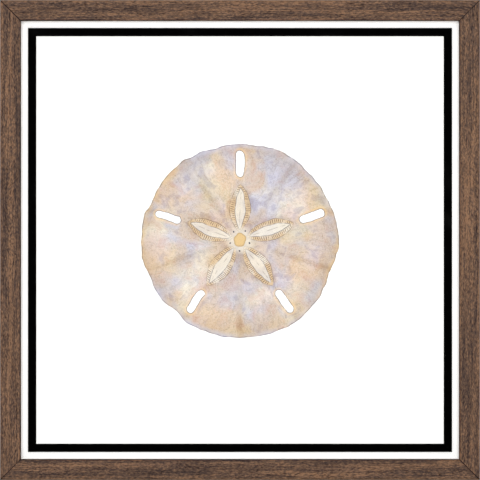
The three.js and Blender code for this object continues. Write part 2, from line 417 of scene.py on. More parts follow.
def raw_wood(side, settings):
    """Unstained wood, as it is at the back and in the rabbet, with stain run over its edges."""
    surface = Surface(f"raw_wood_{side}")
    grain, inward, _, x, z = grain_fields(surface, side)
    bands = grain(210, 7.0, 11, 2.0)
    fibre = grain(16, 0.7, 12, 3.0, 0.6)
    pore = grain(5.5, 0.4, 13, 1.0).rise(0.6, 0.74)
    pale = tuple(settings.raw)
    wood = surface.mix(bands.rise(0.3, 0.7), pale, tuple(channel * 0.72 for channel in pale))
    wood = surface.glaze(wood, fibre.rise(0.35, 0.75) * 0.4, srgb(214, 190, 158))
    wood = surface.glaze(wood, pore * 0.55, srgb(150, 118, 88))
    run = grain(7, 2.2, 14, 3.0) * 3.2
    spill = inward.rise(run + 0.4, run * 0.4)
    wood = surface.mix(spill * 0.85, wood, tuple(settings.middle))
    seam = seam_field(x, z).rise(0.4, 0.05)
    wood = surface.glaze(wood, seam * 0.8, srgb(140, 112, 84))
    scuffs = surface.noise(12, 15, 3.0).rise(0.58, 0.72) * 0.22
    wood = surface.glaze(wood, scuffs, srgb(176, 156, 132))
    height = 0.7 - pore * 0.5 + (fibre - 0.5) * 0.6
    return surface.finish(
        Base_Color=wood,
        Roughness=0.7 + (fibre - 0.5) * 0.2,
        Normal=surface.bump(height, 0.12),
        Specular_IOR_Level=0.25,
    )


# ------------------------------------------------------------------------------- boards, sheet and metal


SCREEN_STEP = 1.9  # millimetres between the wires of the screen that hardboard is pressed on


def mat_board(name, face, specular):
    """Mat board's coloured facing, with a fine felt tooth."""
    surface = Surface(name)
    surface.place(CENTRE)
    tooth = surface.noise(0.55, 1, 3.0, 0.6)
    felt = surface.noise(6.0, 2, 3.0)
    tint = surface.mix(felt.rise(0.3, 0.7), face, tuple(channel * 0.975 for channel in face))
    tint = surface.glaze(tint, tooth.rise(0.5, 0.8) * 0.05, srgb(214, 214, 214))
    return surface.finish(
        Base_Color=tint,
        Roughness=0.9 + (tooth - 0.5) * 0.1,
        Normal=surface.bump(tooth, 0.018),
        Specular_IOR_Level=specular,
    )


def mat_core(core):
    """The board's layered core, where a blade cut it."""
    surface = Surface("mat_core")
    surface.place(CENTRE)
    plies = surface.noise((30, 0.22, 30), 3, 1.0)
    fluff = surface.noise(0.35, 4, 2.0)
    tint = surface.glaze(core, plies.rise(0.5, 0.75) * 0.3, srgb(232, 230, 224))
    return surface.finish(
        Base_Color=tint,
        Roughness=0.95,
        Normal=surface.bump(fluff * 0.6 + plies * 0.4, 0.03),
        Specular_IOR_Level=0.2,
    )


def acrylic(glare):
    """Clear polished acrylic: each face lets most light through and mirrors the rest."""
    surface = Surface("clear_acrylic")
    surface.place(CENTRE)
    haze = surface.noise(38, 5, 2.0).rise(0.5, 0.8)
    return surface.finish(
        Base_Color=(0.97, 0.985, 0.98), Metallic=1.0, Roughness=0.02 + haze * 0.03, Alpha=glare
    )


def hardboard(settings):
    """Tempered hardboard: pressed brown fibre with the print of the press screen on its back, and painted
    shade in the screen's grooves.
    """
    surface = Surface("hardboard")
    x, _, z = surface.place(CENTRE)
    per_wire = math.pi / SCREEN_STEP
    ridges = abs((x * per_wire).math("SINE")) * abs((z * per_wire).math("SINE"))
    clumps = surface.noise(26, 21, 4.0, 0.6)
    fibres = surface.noise((5.5, 1, 0.45), 22, 3.0, 0.65)
    cross = surface.noise((0.45, 1, 5.0), 23, 3.0, 0.65)
    flecks = fibres.over(cross).rise(0.6, 0.78)
    base = tuple(settings.hardboard)
    brown = surface.mix(clumps.rise(0.3, 0.72), base, tuple(channel * 0.8 for channel in base))
    brown = surface.mix(flecks * 0.4, brown, srgb(176, 138, 98))
    # The screen's grooves are painted darker: painted shade in the grooves.
    brown = surface.glaze(brown, ridges.rise(0.35, 0.0) * 0.3, srgb(150, 132, 116))
    specks = surface.cells(3.2, 24).rise(0.16, 0.08)
    brown = surface.glaze(brown, specks * 0.6, srgb(110, 92, 80))
    return surface.finish(
        Base_Color=brown,
        Roughness=0.72 + (clumps - 0.5) * 0.2,
        Normal=surface.bump(ridges * 0.7 + flecks * 0.3, 0.16),
        Specular_IOR_Level=0.3,
    )


def plated_metal(name, tone, wear, roughness):
    """Plated steel with rolling marks, small spangles and some tarnish."""
    surface = Surface(name)
    surface.place()
    spangle = surface.cells(1.3, 31, output="Color")
    marks = surface.noise((9, 0.16, 0.16), 32, 2.0)
    tarnish = surface.noise(4.0, 33, 4.0, 0.6)
    tint = surface.mix(tarnish.rise(0.45, 0.75) * 0.6, tone, wear)
    grey = surface.parts(spangle.socket)[0]
    tint = surface.glaze(tint, grey * 0.18, srgb(208, 208, 208))
    return surface.finish(
        Base_Color=tint,
        Metallic=1.0,
        Roughness=roughness + tarnish * 0.18 + (marks - 0.5) * 0.14,
        Normal=surface.bump(marks, 0.012),
    )


def rubber(tone):
    """Moulded rubber with a light bloom of dust."""
    surface = Surface("black_rubber")
    surface.place()
    dust = surface.noise(1.6, 41, 4.0, 0.65)
    pits = surface.noise(0.28, 42, 1.0)
    tint = surface.mix(dust.rise(0.5, 0.85) * 0.3, tone, srgb(128, 124, 118))
    return surface.finish(
        Base_Color=tint,
        Roughness=0.72 + (dust - 0.5) * 0.3,
        Normal=surface.bump(pits, 0.02),
        Specular_IOR_Level=0.35,
    )


# ------------------------------------------------------------------------------- the picture

# The painted sand dollar, in millimetres from the middle of the sheet. It is a textbook plan: a round
# shell with an equal petal and an equal slot on each of five arms, a fifth of a turn apart.
MIDDLE = (0.0, 0.0)
ARM_COUNT = 5
ARM_STEP = 360.0 / ARM_COUNT
FIRST_ARM = 90.0  # degrees, counted from the right towards the top
SHELL_RADIUS = 90.0
BUTTON_RADIUS = 6.0
PORE_DISTANCE = 9.5
PORE_RADIUS = 0.8
PETAL_START = 7.0
PETAL_END = 52.0
PETAL_WIDTH = 19.0
STROKE_STEP = 1.8
SLOT_DISTANCE = 70.0
SLOT_LENGTH = 24.0
SLOT_WIDTH = 7.0

# Plain watercolour tints.
IVORY = (248, 239, 225)
SAND = (222, 210, 192)
ROSE = (236, 214, 210)
LILAC = (210, 208, 226)
OCHRE = (234, 200, 146)
UMBER = (116, 88, 66)
SLATE = (96, 96, 118)

# Tint, size of the patches in millimetres, noise seed and strength of each wash, in the order laid.
WASHES = (
    (SAND, 44.0, 111, 0.9),
    (ROSE, 36.0, 112, 0.8),
    (LILAC, 32.0, 113, 0.8),
    (OCHRE, 28.0, 114, 0.45),
)


class Painting(Surface):
    """A sheet painted in thin washes and pen lines. Places are in millimetres from its middle."""

    def __init__(self, name, centre):
        super().__init__(name)
        self.depth = self.place(centre)[1]
        self.flat = self.point
        self.hand = self.shaken(self.flat, ((16, 1.9), (2.6, 0.28)), 61)
        self.brush = self.shaken(self.flat, ((30, 7.0), (7, 2.2)), 64)
        self.grit = self.noise(1.3, 71, 3.0, 0.75)
        self.break_up = self.noise(4.5, 72, 3.0, 0.6)
        self.cloud = self.noise(17, 73, 4.0, 0.55)

    def shaken(self, at, steps, seed):
        """A place moved about as a hand would move it. Each step is a size and how far it moves."""
        for count, (size, reach) in enumerate(steps):
            drift = self.noise(size, seed + count, 1.0, at=at, output="Color").socket
            centred = self.node(
                "ShaderNodeVectorMath", {0: drift, 1: (0.5, 0.5, 0.5)}, operation="SUBTRACT"
            )
            moved = self.node(
                "ShaderNodeVectorMath",
                {0: centred.outputs[0], 1: (reach * 2, 0, reach * 2), 2: at},
                operation="MULTIPLY_ADD",
            )
            at = moved.outputs[0]
        return at

    def local(self, at, turn, source):
        """A vector along and across a mark that lies at a place and is turned."""
        placed = {
            "Vector": source,
            "Location": (at[0], 0, at[1]),
            "Rotation": (0, -math.radians(turn), 0),
        }
        return self.node("ShaderNodeMapping", placed, vector_type="TEXTURE").outputs[0]

    def length(self, vector):
        made = self.node("ShaderNodeVectorMath", {0: vector}, operation="LENGTH")
        return Field(self, made.outputs["Value"])

    def angle(self, x, z):
        """The direction of a place in degrees, counted from the right towards the top."""
        return self.math("ARCTAN2", z, x) * math.degrees(1)

    def cover(self, picture, share, tint):
        """Body colour, which hides what is under it."""
        return self.mix(share, picture, srgb(*tint))

    def lay(self, picture, share, tint):
        """Transparent colour, which darkens what is under it."""
        return self.glaze(picture, share, srgb(*tint))


def shell_rim(art):
    """How far a place is inside the shell's wavy rim, and the matching place on a ring of radius 1."""
    x, _, z = art.parts(art.hand)
    radius = art.length(art.vector(x, 0.0, z))
    ring = art.vector(x / radius, 0.0, z / radius)
    lobes = art.noise(0.7, 81, 1.0, at=ring) - 0.5
    nibs = art.noise(0.2, 82, 2.0, at=ring) - 0.5
    wave = 1.0 + lobes * 0.1 + nibs * 0.05
    return wave * SHELL_RADIUS - radius, ring


def paint_washes(art):
    """Broad soft washes, blooms where they ran together, and faint tide marks round the blooms."""
    picture = srgb(*IVORY)
    pigment = 0.6 + art.cloud * 0.8
    for tint, size, seed, strength in WASHES:
        patch = art.noise(size, seed, 2.0, 0.5, at=art.brush).rise(0.42, 0.62)
        picture = art.cover(picture, patch * pigment * strength, tint)
    blooms = art.noise(11, 92, 4.0, 0.6, at=art.brush)
    picture = art.lay(picture, blooms.rise(0.5, 0.68) * 0.6, ROSE)
    picture = art.lay(picture, blooms.rise(0.46, 0.34) * 0.6, LILAC)
    return art.lay(picture, blooms.line(0.52, 0.004, 0.02) * 0.2, SLATE)


def paint_texture(art, picture):
    """Fine radial brush hairs, the shell's granules, and pigment settled in the tooth of the paper."""
    x, _, z = art.parts(art.brush)
    radius = art.length(art.vector(x, 0.0, z))
    turned = art.vector(art.angle(x, z) * 0.55, 0.0, radius * 0.07)
    hairs = art.noise(1.0, 93, 3.0, 0.6, at=turned)
    granules = art.cells(2.6, 95, at=art.flat)
    picture = art.lay(picture, hairs.rise(0.45, 0.75) * 0.4, SAND)
    picture = art.lay(picture, granules.rise(0.3, 0.16) * art.break_up.rise(0.4, 0.6) * 0.5, SAND)
    picture = art.cover(picture, art.grit.rise(0.46, 0.3) * 0.4, IVORY)
    return art.lay(picture, art.grit.rise(0.5, 0.72) * 0.5, SAND)


def paint_rim(art, picture, inside, ring):
    """A soft shade towards the rim, pigment pooled along it, and a thin broken line on it."""
    tints = art.noise(0.9, 83, 1.0, at=ring)
    picture = art.lay(picture, inside.rise(24.0, 0.0) * 0.55, SAND)
    pooled = inside.rise(6.0, 0.0) * art.cloud.rise(0.3, 0.62)
    picture = art.cover(picture, pooled * tints.rise(0.56, 0.46) * 0.7, OCHRE)
    picture = art.cover(picture, pooled * tints.rise(0.46, 0.56) * 0.7, LILAC)
    line = inside.line(0.45, 0.18, 0.45) * art.break_up.rise(0.36, 0.56)
    return art.lay(picture, line * 0.6, SLATE)


def leaf(along, start, end, width):
    """Half the width of a petal, pointed at both ends, at a distance along it. Below 0 past its ends."""
    share = ((along - start) / (end - start)).over(0.0).under(1.0)
    bulge = (share * math.pi).math("SINE").over(0.0)
    return bulge**0.7 * (width / 2 + 0.4) - 0.4


def paint_petal(art, picture, turn):
    """One petal: a pale lens in an ochre border, which a row of short pen strokes crosses each side."""
    along, _, across = art.parts(art.local(MIDDLE, turn, art.hand))
    beside = abs(across)
    room = leaf(along, PETAL_START, PETAL_END, PETAL_WIDTH) - beside
    within = leaf(along, PETAL_START + 2.0, PETAL_END - 3.0, PETAL_WIDTH * 0.5) - beside
    petal = room.rise(-0.25, 0.35)
    inside = within.rise(-0.2, 0.3)
    border = petal * (1.0 - inside)
    picture = art.lay(picture, room.rise(-6.0, -0.3) * art.cloud.rise(0.2, 0.6) * 0.5, SAND)
    picture = art.cover(picture, petal * 0.75, IVORY)
    picture = art.lay(picture, border * art.cloud.rise(0.28, 0.55) * 0.65, OCHRE)
    stroke = abs(art.math("WRAP", along, STROKE_STEP / 2, STROKE_STEP / -2)).rise(0.45, 0.2)
    stroke = stroke * room.rise(0.5, 0.9) * within.rise(-0.5, -0.9) * art.break_up.rise(0.34, 0.5)
    picture = art.lay(picture, stroke * 0.8, UMBER)
    picture = art.lay(picture, inside * art.cloud.rise(0.45, 0.65) * 0.4, LILAC)
    vein = beside.line(0.0, 0.1, 0.32) * within.rise(1.5, 2.5) * art.break_up.rise(0.4, 0.56)
    picture = art.lay(picture, vein * 0.5, UMBER)
    drawn = within.line(0.0, 0.12, 0.34) * art.break_up.rise(0.3, 0.48)
    picture = art.lay(picture, drawn * 0.8, SLATE)
    contour = room.line(0.0, 0.1, 0.34) * art.break_up.rise(0.34, 0.52)
    return art.lay(picture, contour * 0.75, UMBER)


def paint_button(art, picture):
    """The raised button in the middle, with a pore between each two petals."""
    x, _, z = art.parts(art.hand)
    radius = art.length(art.vector(x, 0.0, z))
    wave = ((art.angle(x, z) - FIRST_ARM) * math.radians(ARM_COUNT)).math("COSINE")
    room = BUTTON_RADIUS + wave * 0.3 - radius
    picture = art.cover(picture, radius.rise(15, 8) * 0.6, IVORY)
    picture = art.cover(picture, room.rise(-0.2, 0.25), OCHRE)
    picture = art.lay(picture, room.rise(1.8, 0.0) * room.rise(-0.2, 0.2) * 0.35, UMBER)
    for count in range(ARM_COUNT):
        turn = FIRST_ARM + (count + 0.5) * ARM_STEP
        away = art.length(art.local((PORE_DISTANCE, 0.0), 0, art.local(MIDDLE, turn, art.hand)))
        picture = art.lay(picture, away.rise(PORE_RADIUS + 0.2, PORE_RADIUS - 0.2), SLATE)
    return picture


def paint_slot(art, picture, turn, ground):
    """One slot right through the shell: bare paper with round ends, an ochre halo and a pen line."""
    along, _, across = art.parts(art.local(MIDDLE, turn, art.hand))
    straight = (SLOT_LENGTH - SLOT_WIDTH) / 2
    past = (abs(along - SLOT_DISTANCE) - straight).over(0.0)
    room = SLOT_WIDTH / 2 - art.length(art.vector(past, 0.0, across))
    picture = art.cover(picture, room.rise(-4.0, -0.4) * art.cloud.rise(0.3, 0.6) * 0.5, OCHRE)
    picture = art.mix(room.rise(-0.25, 0.25), picture, ground)
    line = room.line(-0.1, 0.12, 0.38) * art.break_up.rise(0.25, 0.5)
    return art.lay(picture, line * 0.8, SLATE)


def sand_dollar(box, settings):
    """The print's paper, with the painted sand dollar on its front face only."""
    low, high = box
    art = Painting("sand_dollar_print", (low + high) / 2)
    paper = tuple(settings.paper)
    inside, ring = shell_rim(art)
    picture = paint_washes(art)
    picture = paint_texture(art, picture)
    picture = paint_rim(art, picture, inside, ring)
    arms = [FIRST_ARM + count * ARM_STEP for count in range(ARM_COUNT)]
    for turn in arms:
        picture = paint_petal(art, picture, turn)
    picture = paint_button(art, picture)
    picture = art.glaze(picture, 1.0, tuple(settings.wash))
    for turn in arms:
        picture = paint_slot(art, picture, turn, paper)
    front_half = (high.y - low.y) / 2 / MM
    painted = inside.rise(-0.25, 0.25) * art.depth.rise(-0.8 * front_half, -0.95 * front_half)
    tooth = art.noise(0.5, 98, 3.0, 0.6)
    return art.finish(
        Base_Color=art.mix(painted, paper, picture),
        Roughness=0.88 + (tooth - 0.5) * 0.16,
        Normal=art.bump(tooth, 0.02),
        Specular_IOR_Level=0.2,
    )


# ------------------------------------------------------------------------------- shapes

# The least angle between two faces that shows as an edge, on round pieces and on flat boards.
ROUND_DEGREES = 32.0
FLAT_DEGREES = 12.0


def finish_piece(name, shape, materials, nodes, sharp_degrees=ROUND_DEGREES):
    """Makes a piece of the object from a bmesh, and hides the CAD nodes it stands for."""
    mesh = bpy.data.meshes.new(name)
    shape.to_mesh(mesh)
    shape.free()
    for material in materials:
        mesh.materials.append(material)
    return place_piece(name, mesh, nodes, sharp_degrees)


def place_piece(name, mesh, nodes, sharp_degrees=ROUND_DEGREES):
    """Puts a finished mesh in the scene as a piece of the object."""
    mesh.shade_smooth()
    mesh.set_sharp_from_angle(angle=math.radians(sharp_degrees))
    made = bpy.data.objects.new(name, mesh)
    bpy.context.scene.collection.objects.link(made)
    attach(made, "root")
    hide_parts(*nodes)
    return made


def bridge(shape, rings, capped=True):
    """Joins rings of points, in order, with quads, and closes both ends."""
    loops = [[shape.verts.new(point) for point in ring] for ring in rings]
    for first, second in zip(loops, loops[1:]):
        for i, corner in enumerate(first):
            after = (i + 1) % len(first)
            shape.faces.new((corner, first[after], second[after], second[i]))
    if capped:
        shape.faces.new(reversed(loops[0]))
        shape.faces.new(loops[-1])
    return loops


def slab(low, high, ease):
    """A board with slightly rounded edges."""
    shape = bmesh.new()
    size, middle = high - low, (high + low) / 2
    placed = Matrix.Translation(middle) @ Matrix.Diagonal((*size, 1.0))
    bmesh.ops.create_cube(shape, size=1.0, matrix=placed)
    edges = list(shape.edges)
    bmesh.ops.bevel(shape, geom=edges, offset=ease, segments=3, affect="EDGES", profile=0.5)
    return shape


def turned(profile, middle, segments=40):
    """A round piece about the Y axis from (radius, y) points. It starts and ends on the axis."""
    shape = bmesh.new()
    first, *rest, last = profile
    rings = []
    for radius, y in rest:
        ring = []
        for i in range(segments):
            turn = 2 * math.pi * i / segments
            ring.append((middle.x + radius * math.cos(turn), y, middle.z + radius * math.sin(turn)))
        rings.append(ring)
    loops = bridge(shape, rings, capped=False)
    for (radius, y), loop in ((first, loops[0]), (last, loops[-1])):
        tip = shape.verts.new((middle.x, y, middle.z))
        for i, corner in enumerate(loop):
            shape.faces.new((corner, loop[(i + 1) % segments], tip))
    bmesh.ops.recalc_face_normals(shape, faces=shape.faces)
    return shape


def arc(centre, radius, start, end, steps):
    """Points along part of a circle, with its angles in degrees."""
    turns = (math.radians(start + (end - start) * i / steps) for i in range(steps + 1))
    return [(centre[0] + radius * math.cos(turn), centre[1] + radius * math.sin(turn)) for turn in turns]


# ------------------------------------------------------------------------------- rails

ARC_STEPS = 8
CREASE = 0.35 * MM  # how near a flat's ends its shading starts to turn


def moulding_outline(settings, shrink):
    """The moulding's section as (inward, behind the front) points, with all of it drawn in by shrink."""
    depth, lip, back_width = BACK_Y - FRONT_Y, settings.lip_depth, FACE - settings.rabbet_width
    inner_back = settings.back_ease * 0.8
    corners = (
        (0, 0, 1, 1, settings.outer_ease),
        (FACE, 0, -1, 1, settings.sight_ease),
        (FACE, lip, -1, -1, inner_back),
        (back_width, lip, -1, -1, 0),
        (back_width, depth, -1, -1, inner_back),
        (0, depth, 1, -1, settings.back_ease),
    )
    runs = []
    for count, (inward, behind, side, way, radius) in enumerate(corners):
        middle = (inward + side * max(radius, shrink), behind + way * max(radius, shrink))
        if radius <= shrink:
            runs.append([middle])
            continue
        across = 180 if side > 0 else 0
        ahead = -90 if way > 0 else 90
        if across - ahead > 180:
            ahead += 360
        start, end = (across, ahead) if count % 2 == 0 else (ahead, across)
        runs.append(arc(middle, radius - shrink, start, end, ARC_STEPS))
    outline = []
    for run, following in zip(runs, runs[1:] + runs[:1]):
        outline += run
        here, there = Vector(run[-1]), Vector(following[0])
        along = (there - here).normalized() * CREASE
        outline += [tuple(here + along), tuple(there - along)]
    return outline


def turn_about_frame(side_index):
    """Turns what is drawn at the top round to another side of the frame."""
    turn = Matrix.Rotation(side_index * math.pi / 2, 4, "Y")
    return Matrix.Translation(CENTRE) @ turn @ Matrix.Translation(-CENTRE)


def rail_shape(side_index, settings):
    """One mitred rail, with its ends eased so that each joint shows as a fine line."""
    ends = []
    for corner, way in ((side_index - 1, -1), (side_index, 1)):
        is_open = CORNERS[corner] in ("top_left", "bottom_right")
        ends.append((way, settings.open_mitre if is_open else settings.tight_mitre))
    outline = moulding_outline(settings, 0.0)

    def ring(points, reach):
        return [
            (reach(inward), FRONT_Y + behind, CENTRE.z + HALF - inward) for inward, behind in points
        ]

    rings = []
    for way, ease in ends:
        face = ring(moulding_outline(settings, ease), lambda inward: way * (HALF - inward))
        eased = ring(outline, lambda inward: way * (HALF - inward - ease * math.sqrt(2)))
        rings.append([face, eased])
    straight = HALF - FACE - 2 * MM
    stations = 44
    middle = [
        ring(outline, lambda inward: straight * (2 * i / stations - 1)) for i in range(stations + 1)
    ]
    shape = bmesh.new()
    bridge(shape, [*rings[0], *middle, *reversed(rings[1])])
    bmesh.ops.transform(shape, matrix=turn_about_frame(side_index), verts=shape.verts)
    return shape


def mark_raw_wood(shape, side_index, settings):
    """Gives the raw wood's material to the back, the rabbet and the end grain."""
    upright = turn_about_frame(-side_index)
    for face in shape.faces:
        middle = upright @ face.calc_center_median()
        inward, behind = CENTRE.z + HALF - middle.z, middle.y - FRONT_Y
        is_end = len(face.verts) > 4
        is_back = behind > settings.lip_depth - 0.1 * MM and inward > settings.back_ease
        face.material_index = 1 if is_end or is_back else 0


# ------------------------------------------------------------------------------- mats


def mat_shape(node, window, thickness):
    """A mat: its window is cut at 45 degrees, so its core shows. The bevel has the second material."""
    low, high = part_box(node)
    half, middle = (high.x - low.x) / 2, (low + high) / 2
    front, back = low.y, low.y + thickness
    corner_ease = 0.08 * MM
    loops = (
        (half, front),
        (window / 2, front),
        (window / 2 - thickness + corner_ease, back - corner_ease),
        (window / 2 - thickness + corner_ease, back),
        (half, back),
    )
    rings = []
    for reach, y in loops:
        corners = ((-1, -1), (-1, 1), (1, 1), (1, -1))
        rings.append([(middle.x + reach * right, y, middle.z + reach * up) for right, up in corners])
    shape = bmesh.new()
    bridge(shape, [*rings, rings[0]], capped=False)
    bmesh.ops.remove_doubles(shape, verts=shape.verts, dist=1e-7)
    bmesh.ops.recalc_face_normals(shape, faces=shape.faces)
    for face in shape.faces:
        reach = face.calc_center_median() - middle
        face.material_index = 1 if max(abs(reach.x), abs(reach.z)) < window / 2 else 0
    return shape


# ------------------------------------------------------------------------------- hardware


class Layout(Nodes):
    """A geometry node tree with named inputs."""

    def __init__(self, name, inputs):
        super().__init__(bpy.data.node_groups.new(name, "GeometryNodeTree"))
        for label, kind in inputs:
            self.tree.interface.new_socket(name=label, in_out="INPUT", socket_type=f"NodeSocket{kind}")
        self.tree.interface.new_socket(
            name="Geometry", in_out="OUTPUT", socket_type="NodeSocketGeometry"
        )
        self.given = self.tree.nodes.new("NodeGroupInput").outputs

    def value(self, label):
        return Field(self, self.given[label])

    def vector_math(self, operation, values):
        return self.node("ShaderNodeVectorMath", values, operation=operation).outputs[0]

    def end(self, geometry):
        output = self.tree.nodes.new("NodeGroupOutput")
        self.tree.links.new(geometry, output.inputs[0])
        return self.tree


def round_the_frame():
    """A tree that sets copies of a piece in four equal groups, each a quarter turn on from the last."""
    layout = Layout(
        "round_the_frame",
        (
            ("Geometry", "Geometry"),
            ("Per Group", "Int"),
            ("Group Middle", "Vector"),
            ("Pitch", "Vector"),
            ("Frame Centre", "Vector"),
            ("Largest Turn", "Float"),
            ("Seed", "Int"),
            ("Material", "Material"),
        ),
    )
    per_group = layout.value("Per Group")
    index = Field(layout, layout.node("GeometryNodeInputIndex").outputs[0])
    group = (index / per_group).math("FLOOR")
    step = index - group * per_group - (per_group - 1) * 0.5
    offset = layout.vector_math("SCALE", {0: layout.given["Pitch"], "Scale": step})
    drawn = layout.vector_math("ADD", {0: layout.given["Group Middle"], 1: offset})
    quarter = group * (math.pi / 2)
    turning = {"Vector": drawn, "Angle": quarter}
    moved = layout.node("ShaderNodeVectorRotate", turning, rotation_type="Y_AXIS")
    place = layout.vector_math("ADD", {0: moved.outputs[0], 1: layout.given["Frame Centre"]})
    most = layout.value("Largest Turn")
    limits = {"Min": -most, "Max": most, "Seed": layout.given["Seed"]}
    chance = layout.node("FunctionNodeRandomValue", limits, data_type="FLOAT")
    turn = quarter + Field(layout, next(out for out in chance.outputs if out.enabled))
    turned_by = layout.node("FunctionNodeEulerToRotation", {0: layout.vector(0.0, turn, 0.0)})
    points = layout.node("GeometryNodePoints", {"Count": per_group * 4, "Position": place})
    copies = layout.node(
        "GeometryNodeInstanceOnPoints",
        {
            "Points": points.outputs[0],
            "Instance": layout.given["Geometry"],
            "Rotation": turned_by.outputs[0],
        },
    )
    real = layout.node("GeometryNodeRealizeInstances", {"Geometry": copies.outputs[0]})
    painted = layout.node(
        "GeometryNodeSetMaterial",
        {"Geometry": real.outputs[0], "Material": layout.given["Material"]},
    )
    return layout.end(painted.outputs[0])


def spread(name, shape, tree, values):
    """Runs a geometry tree on a shape, and returns the result as a plain mesh."""
    source = bpy.data.meshes.new(name)
    shape.to_mesh(source)
    shape.free()
    seed_piece = bpy.data.objects.new(name, source)
    bpy.context.scene.collection.objects.link(seed_piece)
    modifier = seed_piece.modifiers.new(tree.name, "NODES")
    modifier.node_group = tree
    identifiers = {item.name: item.identifier for item in tree.interface.items_tree}
    for label, value in values.items():
        modifier[identifiers[label]] = value
    evaluated = seed_piece.evaluated_get(bpy.context.evaluated_depsgraph_get())
    mesh = bpy.data.meshes.new_from_object(evaluated)
    seed_piece.modifiers.remove(modifier)
    bpy.data.objects.remove(seed_piece)
    return mesh


def framers_point_shape(settings):
    """One framer's point about its own middle: its sharp end is up, and its round end is bent back."""
    low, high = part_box("framers_point_top_1")
    half_width, half_length = (high.x - low.x) / 2, (high.z - low.z) / 2
    half_thick = (high.y - low.y) / 2
    taper, least = 2 * MM, 0.25 * MM
    shares = (1.0, 0.97, 0.9, 0.42, 0.3, 0.18, 0.08, -0.08, -0.18, -0.3, -0.42, -0.9, -0.97, -1.0)
    skins = (0.0, 0.6) + (1.0,) * 10 + (0.6, 0.0)
    stations = 40
    rings = []
    for i in range(stations + 1):
        z = half_length * (1 - 2 * i / stations)
        pointed = (half_length - z) / taper * half_width
        past = max(0.0, half_width - half_length - z)
        rounded = math.sqrt(max(0.0, half_width**2 - past**2))
        width = max(least, min(half_width, pointed, rounded))
        lift = settings.tip_lift * max(0.0, -z / half_length - 0.2) ** 2
        ribbed = max(0.0, 1 - (z / (0.66 * half_length)) ** 4)
        face, back = [], []
        for share, skin in zip(shares, skins):
            near = max(0.0, 1 - abs(share * width) / (1.1 * MM))
            rise = lift + settings.rib * ribbed * near * near * (3 - 2 * near)
            back.append((share * width, rise + skin * half_thick, z))
            face.append((share * width, rise - skin * half_thick, z))
        rings.append(back + face[-2:0:-1])
    shape = bmesh.new()
    bridge(shape, rings)
    bmesh.ops.recalc_face_normals(shape, faces=shape.faces)
    return shape


def v_nail_shape(settings):
    """One V-nail about its bend. It opens to the top right corner, and its wings end in a slight hook."""
    low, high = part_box("v_nail_top_right_outer")
    depth, half_thick, ease, proud = high.y - low.y, 0.3 * MM, 0.12 * MM, 0.06 * MM
    half_angle, bend_radius, hook = math.radians(50), 0.7 * MM, 0.7 * MM
    bend = arc((bend_radius / math.sin(half_angle), 0), bend_radius, 180 - 40, 180 + 40, 6)
    wing = []
    for share in (1.0, 0.9, 0.6, 0.3):
        reach = settings.wing * share
        hooked = hook * max(0.0, share - 0.8)
        wing.append((reach * math.cos(half_angle) - hooked, reach * math.sin(half_angle)))
    line = wing + bend + [(x, -y) for x, y in reversed(wing)]

    def outline(half):
        """The strip's outline, with each end square."""
        sides = ([], [])
        for i, here in enumerate(line):
            before, after = line[max(i - 1, 0)], line[min(i + 1, len(line) - 1)]
            along = (Vector(after) - Vector(before)).normalized()
            for side, way in zip(sides, (1, -1)):
                side.append((here[0] - way * along.y * half, here[1] + way * along.x * half))
        return sides[0] + sides[1][::-1]

    diagonal = math.sqrt(0.5)
    rings = []
    for behind, shrink in ((proud, ease), (proud - ease, 0), (ease - depth, 0), (-depth, ease)):
        ring = []
        for x, z in outline(half_thick - shrink):
            ring.append((diagonal * (x - z), behind, diagonal * (x + z)))
        rings.append(ring)
    shape = bmesh.new()
    bridge(shape, rings)
    bmesh.ops.recalc_face_normals(shape, faces=shape.faces)
    return shape


def hanger_shape(node):
    """The hanger from the frame's own solid, with its ends down on the wood and its edges tumbled smooth."""
    shape = bmesh.new()
    shape.from_mesh(node.data)
    bmesh.ops.remove_doubles(shape, verts=shape.verts, dist=0.001 * MM)
    gap, contact = 0.5 * MM, 0.02 * MM
    for corner in shape.verts:
        if corner.co.y < BACK_Y + gap:
            corner.co.y = BACK_Y + contact
    bmesh.ops.dissolve_limit(
        shape, angle_limit=math.radians(1), verts=shape.verts, edges=shape.edges
    )
    sharp = [edge for edge in shape.edges if edge.calc_face_angle(0) > math.radians(15)]
    bmesh.ops.bevel(
        shape, geom=sharp, offset=0.14 * MM, segments=2, affect="EDGES", profile=0.5, clamp_overlap=True
    )
    return shape


def nail_shape(node, underside):
    """A wire nail with a domed head, a collar of grip rings under it and a point."""
    low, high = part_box(node)
    middle = (low + high) / 2
    head, shank = (high.x - low.x) / 2, 0.65 * MM
    crown = high.y
    dome_depth = crown - underside
    profile = [(0.0, low.y), (0.2 * MM, low.y + 0.4 * MM), (shank, low.y + 1.8 * MM)]
    groove, first_ring, ring_step = 0.07 * MM, 3.2 * MM, 0.5 * MM
    for ring in range(4):
        y = underside - first_ring + ring * ring_step
        profile += [(shank, y), (shank - groove, y + 0.12 * MM), (shank, y + 0.24 * MM)]
    profile += [(shank, underside - 0.3 * MM), (shank + 0.2 * MM, underside), (head - 0.1 * MM, underside)]
    profile += [(head, underside + 0.12 * MM), (head, underside + 0.3 * MM)]
    for turn in (20, 40, 60, 78):
        angle = math.radians(turn)
        rise = underside + 0.3 * MM + (dome_depth - 0.3 * MM) * math.sin(angle)
        profile.append((head * math.cos(angle), rise))
    profile.append((0.0, crown))
    return turned(profile, middle, segments=28)


